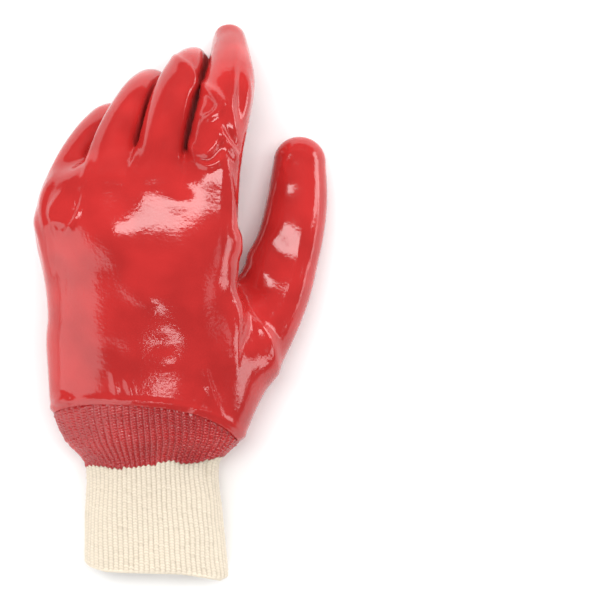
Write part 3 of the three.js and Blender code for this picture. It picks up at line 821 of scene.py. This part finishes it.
@dataclass
class CoatedHand(Part):
    """The smooth dipped hand: a closed wall with five hollow digits, open below the seam."""

    outer_step: float = 1.15
    outer_gap: float = 1.3
    inner_step: float = 1.7
    inner_gap: float = 2.2
    # The swell that the seam inside gives the rim: height, place above the seam, spread.
    swell: float = 0.5
    swell_place: float = 2.6
    swell_spread: float = 1.4
    # How far the rim turns in, and over what length.
    rim_depth: float = 0.45
    rim_length: float = 2.2
    # How far in front of the skin room is felt for, how much is enough, and how deep the skin may lie.
    feel: float = 2.5
    room: float = 2
    skin_depth: float = 0.8

    def depth(self, side: Side) -> float:
        """How far a side of the wall lies below the skin."""
        return self.sizes.hand_wall if side is Side.INNER else 0

    def seam_of(self, points: Array) -> Array:
        """Height of the seam line under each point."""
        return self.skin.seam(*self.skin.turn_at(points[:, 0], points[:, 2]))

    def fold(self, form: HandForm, points: Array, side: Side) -> Array:
        """Raises and sinks the skin by its folds and dents, and rounds it off at the rim.

        Only what faces up moves fully, so that a fold on the back doesn't show on the palm below it. The
        outer side turns in to the rib crests at the rim, past the low swell of the seam inside.

        Args:
            form: The form that the points lie on.
            points: Rows of x, y, z.
            side: The side of the wall.

        Returns:
            The moved points.
        """
        outward = form.outward(points)
        seen = from_above(points)
        rise = sum(fold.rise(seen) for fold in FOLDS) + sum(dent.rise(seen) for dent in DENTS)
        rise = rise * smooth_step(-0.35, 0.15, outward[:, 2])
        past_rim = points[:, 1] - self.seam_of(points)
        if side is Side.OUTER:
            swell = self.swell * np.exp(-(((past_rim - self.swell_place) / self.swell_spread) ** 2))
            rise += swell - self.rim_depth * (1 - smooth_step(0, self.rim_length, past_rim))
        points = points + rise[:, None] * outward
        points[:, 2] = np.maximum(points[:, 2], self.depth(side))
        return points

    def crowding(self, form: HandForm, points: Array) -> Array:
        """How shut in each point of the outer skin is, which falls as the room felt in front of it grows.

        Args:
            form: The outer side's form.
            points: Rows of x, y, z.

        Returns:
            From 0 in the open to 1 in a slit between fingers, and 0 inside the wall.
        """
        room = form.sample(form.field, points + self.feel * form.outward(points))
        outer = form.sample(form.field, points) > -self.skin_depth
        return (1 - smooth_step(0, self.room, room)) * outer

    def cut_skin(self, form: HandForm, side: Side) -> bmesh.types.BMesh:
        """One side of the wall, straightened along the seam and cut off there.

        Args:
            form: The form that it lies on.
            side: The side of the wall.

        Returns:
            Its mesh in millimetres.
        """
        points, faces = form.surface(self.depth(side))
        points = self.fold(form, points, side)
        points[:, 1] -= self.seam_of(points)
        if side is Side.INNER:
            faces = faces[:, ::-1]
        mesh = bpy.data.meshes.new("skin")
        mesh.from_pydata(points, [], faces.tolist())
        cut = bmesh.new()
        cut.from_mesh(mesh)
        bpy.data.meshes.remove(mesh)
        everything = cut.verts[:] + cut.edges[:] + cut.faces[:]
        bmesh.ops.bisect_plane(cut, geom=everything, plane_co=(0, 0, 0), plane_no=(0, 1, 0),
                               clear_inner=True)
        for face in cut.faces:
            face.material_index = side.value
        return cut

    def build(self) -> bpy.types.Object:
        """Joins the two sides of the wall at the rim.

        Returns:
            The hand.
        """
        form = HandForm(self.sizes, self.skin, self.outer_step, self.outer_gap)
        outer = self.cut_skin(form, Side.OUTER)
        inner_form = HandForm(self.sizes, self.skin, self.inner_step, self.inner_gap)
        inner = self.cut_skin(inner_form, Side.INNER)
        spare = bpy.data.meshes.new("inner")
        inner.to_mesh(spare)
        inner.free()
        outer.from_mesh(spare)
        bpy.data.meshes.remove(spare)
        rim = [edge for edge in outer.edges if edge.is_boundary]
        bmesh.ops.bridge_loops(outer, edges=rim)
        mesh = bpy.data.meshes.new("dipped_hand")
        outer.to_mesh(mesh)
        outer.free()
        points = np.empty(3 * len(mesh.vertices))
        mesh.vertices.foreach_get("co", points)
        points = points.reshape(-1, 3)
        points[:, 1] += self.seam_of(points)
        mesh.vertices.foreach_set("co", (points * MM).ravel())
        # How shut in the outer skin is, which its finish darkens as painted shade.
        mark_gaps(mesh, [self.crowding(form, points)])
        return link_smooth("dipped_hand", mesh)


@dataclass
class RibTube(Part):
    """Shared making of the ribbed band and the knit wrist."""

    ribs: int = 68
    columns_a_rib: int = 8
    rib_height: float = 0.7
    stitch: float = 1.35
    # A stitch's legs slant by this share of it, and its height varies by this share of its depth.
    slant: float = 0.33
    uneven: float = 0.22
    stitch_rows: int = 63
    # Over each rib the coating's edge is scalloped, and wanders up and down.
    scallop: float = 0.45
    edge_wander: float = 0.25
    seed: int = 7
    angles: Array = field(init=False)
    # The dip left its edge uneven: cosine of the angle round the wrist, and rise above the dip line.
    EDGE_WAVE = np.array([
        [-1.0, -0.5], [-0.8, 0.8], [-0.4, -1.5], [-0.2, -1.2], [0.0, -0.3], [0.2, 1.3], [0.35, -0.2],
        [0.6, 0.1], [0.85, 1.5], [1.0, 2.2]])

    def __post_init__(self) -> None:
        """Spaces the columns round the wrist, and draws how far each stitch is off its place."""
        self.angles = self.skin.even_angles(self.ribs * self.columns_a_rib)
        self.cosine, self.sine = np.cos(self.angles), np.sin(self.angles)
        place = np.arange(len(self.angles)) / self.columns_a_rib
        self.across = 2 * (place % 1) - 1
        self.rib_number = place.astype(int)
        self.wander = np.random.default_rng(self.seed).normal(0, 1, (self.ribs, self.stitch_rows + 1))

    def edge(self) -> Array:
        """The lower edge of the coating: the dip line, its wave on the back, and a scallop over each rib.

        Returns:
            Its place along the wrist at each column.
        """
        wave = np.interp(self.cosine, self.EDGE_WAVE[:, 0], self.EDGE_WAVE[:, 1])
        scallop = (self.scallop * np.cos(np.pi * self.across)
                   + self.edge_wander * self.wander[self.rib_number, 0])
        return self.skin.dip(self.cosine) + wave * smooth_step(-0.3, 0.3, self.sine) + scallop

    def stitched(self, y: Array, depth: float) -> Array:
        """How far the knit lies below its rib crests.

        Each rib is the square root of a cosine across. Along it run the stitches, two slanting legs each,
        as a cosine of the place along plus the slant times the place across, and every stitch sits a
        little higher or lower than the next.

        Args:
            y: Places along the wrist, one for each column.
            depth: How far the stitches stand up, in millimetres.

        Returns:
            The depth at each place.
        """
        across = np.abs(self.across)
        crest = np.sqrt(np.clip(np.cos(np.pi / 2 * across), 0, 1))
        along = y / self.stitch + self.slant * across + 0.5 * (self.rib_number % 2)
        row = np.floor(along).astype(int) % self.stitch_rows + 1
        uneven = self.wander[self.rib_number, row]
        leg = 0.5 - 0.5 * np.cos(2 * np.pi * along)
        return self.rib_height * (1 - crest) + depth * crest * (1 - leg) + self.uneven * depth * uneven * leg

    def faces(self, rows: int, columns: int) -> Array:
        """The faces of rings that start up the outside."""
        return ring_faces(rows, columns)

    def tube(self, name: str, rows: list[Array], gaps: list[Array], rest: Array) -> bpy.types.Object:
        """The closed wall through rings of points.

        Args:
            name: The piece's name.
            rows: The rings, one after another round the wall's outline.
            gaps: How deep in a gap each point lies, for the first of the rings.
            rest: The same for each of the other rings.

        Returns:
            The piece.
        """
        points = np.stack(rows)
        piece = mesh_object(name, points.reshape(-1, 3), self.faces(*points.shape[:2]))
        mark_gaps(piece.data, gaps + [rest] * (len(rows) - len(gaps)))
        return piece


@dataclass
class RibBand(RibTube):
    """The ribbed top of the knit wrist under the same dip, tucked under the rim of the hand."""

    stitch_depth: float = 0.6
    # On the back, towards the thumb, the edge stands up: height, cosine of the place, spread, reach.
    lift: float = 1.9
    lift_place: float = 0.72
    lift_spread: float = 0.3
    lift_reach: float = 5
    rim_gap: float = 0.4
    knit_rows: int = 88
    edge_shade: float = 0.4
    # Painted shade on the film's thin edge, given as a depth in a gap.
    # The film's thin edge: rise above its end, and depth below the skin.
    FILM_EDGE = ((0.0, 0.55), (0.12, 0.15), (0.4, -0.05))

    def build(self) -> bpy.types.Object:
        """Carries the wall's outline, from the film's edge up to the tuck and back inside, round the wrist.

        Returns:
            The band.
        """
        sizes, skin = self.sizes, self.skin
        edge, seam = self.edge(), skin.seam(self.cosine, self.sine)
        lift = self.lift * np.exp(-(((self.cosine - self.lift_place) / self.lift_spread) ** 2))
        lift = lift * smooth_step(0.1, 0.6, self.sine)
        tucked = sizes.hand_wall + sizes.clearance
        flat = 0 * edge
        rows, gaps = [], [flat + self.edge_shade] * len(self.FILM_EDGE)
        for rise, inset in self.FILM_EDGE:
            below = sizes.dip_step + inset + self.stitched(edge, 0) - lift
            rows.append(skin.point(edge + rise, self.angles, below, 0.0))
        length = seam - self.rim_gap - edge
        for share in np.linspace(0.04, 1, self.knit_rows):
            y = edge + share * length
            below = self.stitched(y, self.stitch_depth)
            gaps.append(below / (self.rib_height + self.stitch_depth))
            below = below - lift * np.exp(-((y - edge) / self.lift_reach) ** 2)
            rows.append(skin.point(y, self.angles, sizes.dip_step + below, 0.0))
        for share in np.linspace(0.25, 1, 4):
            rows.append(skin.point(seam + share * sizes.band_tuck, self.angles, tucked + flat, tucked))
        hollow = sizes.dip_step + sizes.band_wall
        for share in np.linspace(1, 0, 8):
            turn_in = float(smooth_step(0.5, 0.9, np.array(share)))
            y = edge + 1 + share * (seam + sizes.band_tuck - edge - 1)
            inset = hollow + (tucked + sizes.band_wall - hollow) * turn_in - lift * (1 - share) ** 4
            rows.append(skin.point(y, self.angles, inset, sizes.band_wall + tucked * turn_in))
        rows.append(skin.point(edge + 0.1, self.angles, sizes.dip_step + 1.0 + flat - lift, 0.6))
        return self.tube("dipped_ribs", rows, gaps, flat)


@dataclass
class KnitWrist(RibTube):
    """The undipped knit wrist, folded double at its rounded hem."""

    stitch_depth: float = 0.5
    knit_rows: int = 116
    crest_depth: float = 0.3  # How far the rib crests lie below the film.
    tuck_share: float = 0.55  # How much of the band hides the wrist's upper end.
    hem_height: float = 1.2  # Where the hem starts to round off,
    hem_drop: float = 1.5  # and how far down it then goes.
    # The ribs wander sideways on their way, most towards the thumb: angle, and length of a wave.
    sway: float = 0.012
    sway_length: float = 21
    # A slack fold runs down from the dip towards the thumb: depth, cosine of the place, spread.
    slack: float = 0.9
    slack_place: float = 0.8
    slack_spread: float = 0.05
    ripple: float = 0.35  # Depth of the low waves on the back.
    inner_shade: float = 0.2
    # Cosine of the angle round the wrist, and how far the hem hangs above its level there.
    HEM_WAVE = np.array([
        [-1.0, 2.4], [-0.93, 0.7], [-0.65, -0.8], [-0.1, 0.1], [0.3, 0.5], [0.6, -0.4], [0.9, -1.5], [1.0, -0.2]])

    def faces(self, rows: int, columns: int) -> Array:
        """The faces of rings that start down the outside."""
        return ring_faces(rows, columns)[:, ::-1]

    def build(self) -> bpy.types.Object:
        """Carries the wall's outline, from the tucked end down to the hem and back inside, round the wrist.

        Returns:
            The wrist.
        """
        sizes, skin = self.sizes, self.skin
        edge, seam = self.edge(), skin.seam(self.cosine, self.sine)
        hem = skin.hem(self.cosine) + np.interp(self.cosine, self.HEM_WAVE[:, 0], self.HEM_WAVE[:, 1])
        round_off = self.hem_height
        outer = sizes.dip_step + self.crest_depth
        tucked = sizes.dip_step + sizes.band_wall + sizes.clearance
        top = edge + self.tuck_share * (seam - edge)
        flat = 0 * edge
        rows, gaps = [], [flat] * 4
        for share in np.linspace(1, 0, 4):
            rows.append(skin.point(edge + 1 + share * (top - edge - 1), self.angles, tucked + flat, tucked))
        for share in np.linspace(1, 0, self.knit_rows):
            y = hem + round_off + share * (edge - 0.2 - hem - round_off)
            sway = (self.sway * smooth_step(-0.2, 0.9, self.cosine)
                    * np.sin(2 * np.pi * y / self.sway_length + 1.5 * self.cosine))
            slack = (self.slack * np.exp(-(((self.cosine - self.slack_place) / self.slack_spread) ** 2))
                     * smooth_step(2, 20, y))
            slack += self.ripple * np.sin(5 * self.angles + y / 9) * smooth_step(0, 0.5, self.sine)
            below = self.stitched(y, self.stitch_depth)
            gaps.append(below / (self.rib_height + self.stitch_depth))
            rows.append(skin.point(y, self.angles + sway, outer + below + slack, 0.0))
        for turn in np.linspace(0.25, np.pi - 0.25, 8):
            depth = sizes.knit_wall * (1 - math.cos(turn)) / 2
            y = hem + round_off - self.hem_drop * math.sin(turn)
            inset = outer + self.stitched(y, 0) * math.cos(turn / 2) + depth
            rows.append(skin.point(y, self.angles, inset, depth))
        inner = outer + sizes.knit_wall
        for share in np.linspace(0, 1, 18):
            turn_in = float(smooth_step(0.5, 0.75, np.array(share)))
            y = hem + round_off + share * (top - hem - round_off)
            inset = (inner + (tucked + sizes.knit_wall - inner) * turn_in
                     + 0.4 * self.stitched(y, 0) * (1 - turn_in))
            rows.append(skin.point(y, self.angles, inset, sizes.knit_wall + tucked * turn_in))
        return self.tube("rib_cuff", rows, gaps, flat + self.inner_shade)


def linear(colour: str) -> tuple[float, float, float, float]:
    """The linear colour of an sRGB hex value."""
    parts = [int(colour[i:i + 2], 16) / 255 for i in (1, 3, 5)]
    return (*[p / 12.92 if p <= 0.04045 else ((p + 0.055) / 1.055) ** 2.4 for p in parts], 1)


def waves_a_metre(size: float) -> float:
    """Scale of a noise whose bumps are that many millimetres wide."""
    return 1 / (size * MM)


class NodeSheet:
    """A material's node tree, to which nodes are added one by one."""

    def __init__(self, name: str) -> None:
        """Starts a material with an empty tree.

        Args:
            name: The material's name.
        """
        self.material = bpy.data.materials.new(name)
        self.material.use_nodes = True
        self.tree = self.material.node_tree
        self.tree.nodes.clear()

    def add(self, kind: str, settings: dict | None = None, **inputs: object) -> bpy.types.Node:
        """Adds a node.

        Args:
            kind: The node's type name.
            settings: Its own settings by name.
            inputs: Values or output sockets for its inputs, an underscore standing for a space.

        Returns:
            The node.
        """
        node = self.tree.nodes.new(kind)
        for name, value in (settings or {}).items():
            setattr(node, name, value)
        for name, value in inputs.items():
            socket = node.inputs[name.replace("_", " ")]
            if isinstance(value, bpy.types.NodeSocket):
                self.tree.links.new(value, socket)
            else:
                socket.default_value = value
        return node

    def mix(self, share: bpy.types.NodeSocket, first: str | bpy.types.NodeSocket,
            second: str) -> bpy.types.NodeSocket:
        """Two colours mixed.

        Args:
            share: The second colour's share.
            first: An sRGB hex value or an output socket.
            second: An sRGB hex value.

        Returns:
            The mixed colour.
        """
        node = self.add("ShaderNodeMix", {"data_type": "RGBA"})
        self.tree.links.new(share, node.inputs[0])
        if isinstance(first, str):
            node.inputs[6].default_value = linear(first)
        else:
            self.tree.links.new(first, node.inputs[6])
        node.inputs[7].default_value = linear(second)
        return node.outputs[2]


@dataclass(frozen=True)
class GlossyDip:
    """PVC plastisol, dipped and cured: a thick, glassy, wet-looking skin.

    The loops of the knit liner below, about 1 mm wide, show through as a faint grain that frays the edges
    of the highlights. It is drawn at 1.5 mm so that it shows. The film sagged into soft waves of about
    7 mm as it drained, and lies thicker in some patches than in others.

    Attributes:
        name: The material's name.
        colour: The film's colour where it is thin.
        deep_colour: Its colour where it lies thicker.
        gap_shade_colour: Painted shade deep in the gaps between loops or fingers, where little light reaches.
        roughness: How blurred its reflections are.
        pool_roughness: How blurred they are deep in the gaps, where the film pools and dulls.
        patch: Width of the thicker patches, in millimetres.
        loop: Width of the grain.
        grain: Height of the grain.
        drain: Width of the drain waves.
        wave: Height of the drain waves.
    """

    name: str = "glossy_pvc"
    colour: str = "#bc2b2a"
    deep_colour: str = "#ab2524"
    gap_shade_colour: str = "#a32322"
    roughness: float = 0.11
    pool_roughness: float = 0.7
    patch: float = 22
    loop: float = 1.5
    grain: float = 0.06
    drain: float = 7
    wave: float = 0.08

    def make(self) -> bpy.types.Material:
        """Builds the material.

        Returns:
            The material.
        """
        sheet = NodeSheet(self.name)
        place = sheet.add("ShaderNodeTexCoord").outputs["Object"]
        thick = sheet.add("ShaderNodeTexNoise", Vector=place, Scale=waves_a_metre(self.patch),
                          Detail=2.0).outputs["Fac"]
        share = sheet.add("ShaderNodeMapRange", Value=thick, From_Min=0.35, From_Max=0.65).outputs["Result"]
        colour = sheet.mix(share, self.colour, self.deep_colour)
        # Painted shade: deep in the gaps the colour is darkened, and the film is also made rougher there.
        gap = sheet.add("ShaderNodeAttribute", {"attribute_name": "gap_depth"}).outputs["Fac"]
        shade_and_dulling = sheet.add("ShaderNodeMapRange", Value=gap, From_Min=0.25, From_Max=1.0).outputs["Result"]
        colour = sheet.mix(shade_and_dulling, colour, self.gap_shade_colour)
        rough = sheet.add("ShaderNodeMapRange", Value=shade_and_dulling, To_Min=self.roughness,
                          To_Max=self.pool_roughness).outputs["Result"]
        loops = sheet.add("ShaderNodeTexNoise", Vector=place, Scale=waves_a_metre(self.loop),
                          Detail=2.0).outputs["Fac"]
        drain = sheet.add("ShaderNodeTexNoise", Vector=place, Scale=waves_a_metre(self.drain),
                          Detail=1.0).outputs["Fac"]
        waved = sheet.add("ShaderNodeBump", Distance=self.wave * MM, Height=drain).outputs["Normal"]
        bump = sheet.add("ShaderNodeBump", Distance=self.grain * MM, Height=loops,
                         Normal=waved).outputs["Normal"]
        shader = sheet.add("ShaderNodeBsdfPrincipled", Base_Color=colour, Roughness=rough, IOR=1.53,
                           Normal=bump)
        sheet.add("ShaderNodeOutputMaterial", Surface=shader.outputs["BSDF"])
        return sheet.material


@dataclass(frozen=True)
class RibKnit:
    """Unbleached cotton and polyester rib knit: matt, soft and cream, with paler and darker strands.

    Attributes:
        name: The material's name.
        colour: The paler strands.
        shade_colour: The darker strands.
        loop_shade_colour: Painted shade deep between the loops.
        strand: Width of the fluff on the yarn, in millimetres, drawn coarser than real so that it shows.
        fluff: Height of that fluff.
    """

    name: str = "rib_knit"
    colour: str = "#e9ddcb"
    shade_colour: str = "#d8cbb6"
    loop_shade_colour: str = "#998a74"
    strand: float = 0.35
    fluff: float = 0.08

    def make(self) -> bpy.types.Material:
        """Builds the material.

        Returns:
            The material.
        """
        sheet = NodeSheet(self.name)
        place = sheet.add("ShaderNodeTexCoord").outputs["Object"]
        fluff = sheet.add("ShaderNodeTexNoise", Vector=place, Scale=waves_a_metre(self.strand),
                          Detail=3.0).outputs["Fac"]
        share = sheet.add("ShaderNodeMapRange", Value=fluff, From_Min=0.4, From_Max=0.7).outputs["Result"]
        colour = sheet.mix(share, self.colour, self.shade_colour)
        # Painted shade: the colour is darkened deep between the loops.
        gap = sheet.add("ShaderNodeAttribute", {"attribute_name": "gap_depth"}).outputs["Fac"]
        shaded = sheet.add("ShaderNodeMapRange", Value=gap, From_Min=0.2, From_Max=0.9,
                           To_Max=0.9).outputs["Result"]
        colour = sheet.mix(shaded, colour, self.loop_shade_colour)
        bump = sheet.add("ShaderNodeBump", Distance=self.fluff * MM, Height=fluff).outputs["Normal"]
        shader = sheet.add("ShaderNodeBsdfPrincipled", Base_Color=colour, Roughness=0.92,
                           Specular_IOR_Level=0.2, Sheen_Weight=0.25, Sheen_Roughness=0.5, Normal=bump)
        sheet.add("ShaderNodeOutputMaterial", Surface=shader.outputs["BSDF"])
        return sheet.material


@dataclass(frozen=True)
class SoftBox:
    """A soft box that faces the glove.

    Attributes:
        name: Its name.
        place: Its middle, in millimetres.
        size: Its width and height, in millimetres.
        brightness: How bright its face looks, where a white sheet of paper in the light is about 1.
        mirrored: Whether glossy surfaces mirror it, or it only fills the shadows like a far wall.
    """

    # The place on the glove that every box faces, in metres.
    AIM = (0.02, 0.1, 0.04)

    name: str
    place: tuple[float, float, float]
    size: tuple[float, float]
    brightness: float
    mirrored: bool = True

    def hang(self) -> None:
        """Makes the light. Its power is the brightness times pi times its area in square metres."""
        light = bpy.data.lights.new(self.name, "AREA")
        light.shape = "RECTANGLE"
        light.size, light.size_y = self.size[0] * MM, self.size[1] * MM
        light.energy = self.brightness * math.pi * light.size * light.size_y
        made = bpy.data.objects.new(self.name, light)
        made.location = [value * MM for value in self.place]
        aim = Vector(self.AIM) - made.location
        made.rotation_euler = aim.to_track_quat("-Z", "Y").to_euler()
        made.visible_camera = False
        made.visible_glossy = self.mirrored
        bpy.context.collection.objects.link(made)


@dataclass(frozen=True)
class Studio:
    """A pale floor, soft boxes and the camera straight above the glove."""

    camera_place: tuple[float, float, float] = CAMERA
    lens: float = 176.84
    sensor: float = 36
    floor_reach: float = 3000.0
    floor_colour: str = "#fcfcfc"
    world_strength: float = 0.16
    boxes: tuple[SoftBox, ...] = (
        SoftBox("top_box", (50, 290, 1650), (1680, 430), 8.2),
        SoftBox("right_box", (1250, 625, 330), (750, 460), 5.5),
        SoftBox("rim_box", (1300, 120, 90), (600, 140), 3.5),
        SoftBox("web_box", (1250, -480, 520), (420, 420), 4.2),
        SoftBox("side_box", (800, -460, 950), (160, 330), 1.3),
        SoftBox("far_wall", (0, 1900, 1000), (2600, 1100), 4.3, False),
        SoftBox("left_wall", (-1250, -950, 760), (2700, 1500), 2.05),
        SoftBox("low_box", (-50, -1040, 1650), (300, 170), 6.5),
    )

    def build(self) -> None:
        """Places floor, lights and camera."""
        size = self.floor_reach
        corners = np.array([[-size, -size, 0], [size, -size, 0], [size, size, 0], [-size, size, 0]])
        floor = mesh_object("floor", corners, np.array([[0, 1, 2, 3]]))
        sheet = NodeSheet("floor")
        shader = sheet.add("ShaderNodeBsdfPrincipled", Base_Color=linear(self.floor_colour), Roughness=0.8)
        sheet.add("ShaderNodeOutputMaterial", Surface=shader.outputs["BSDF"])
        floor.data.materials.append(sheet.material)
        world = bpy.data.worlds.new("studio")
        world.use_nodes = True
        background = world.node_tree.nodes["Background"]
        background.inputs["Color"].default_value = (1, 1, 1, 1)
        background.inputs["Strength"].default_value = self.world_strength
        bpy.context.scene.world = world
        for box in self.boxes:
            box.hang()
        camera = bpy.data.objects.new("camera", bpy.data.cameras.new("camera"))
        camera.location = [value * MM for value in self.camera_place]
        camera.data.lens = self.lens
        camera.data.sensor_width = self.sensor
        bpy.context.collection.objects.link(camera)
        bpy.context.scene.camera = camera
        bpy.context.scene.view_settings.view_transform = "Standard"


def main() -> None:
    """Builds the glove and the studio."""
    logging.basicConfig(level=logging.INFO)
    coating = GlossyDip().make()
    # The ribbed film's darker colour deep between its loops is painted shade.
    ribbed = GlossyDip(name="ribbed_pvc", colour="#b92b2c", deep_colour="#a32426", gap_shade_colour="#7d1f1e",
                       roughness=0.13).make()
    knit = RibKnit().make()
    lining = RibKnit(name="cotton_lining", colour="#e6dccb", shade_colour="#d3c6b0").make()
    parts = (
        CoatedHand(SIZES, SKIN, "coated_hand", "glossy_pvc", (coating, lining)),
        RibBand(SIZES, SKIN, "dipped_rib_band", "ribbed_pvc", (ribbed,)),
        KnitWrist(SIZES, SKIN, "knit_wrist", "rib_knit", (knit,)),
    )
    for part in parts:
        part.dress(part.build())
    Studio().build()


if __name__ == "__main__":
    main()
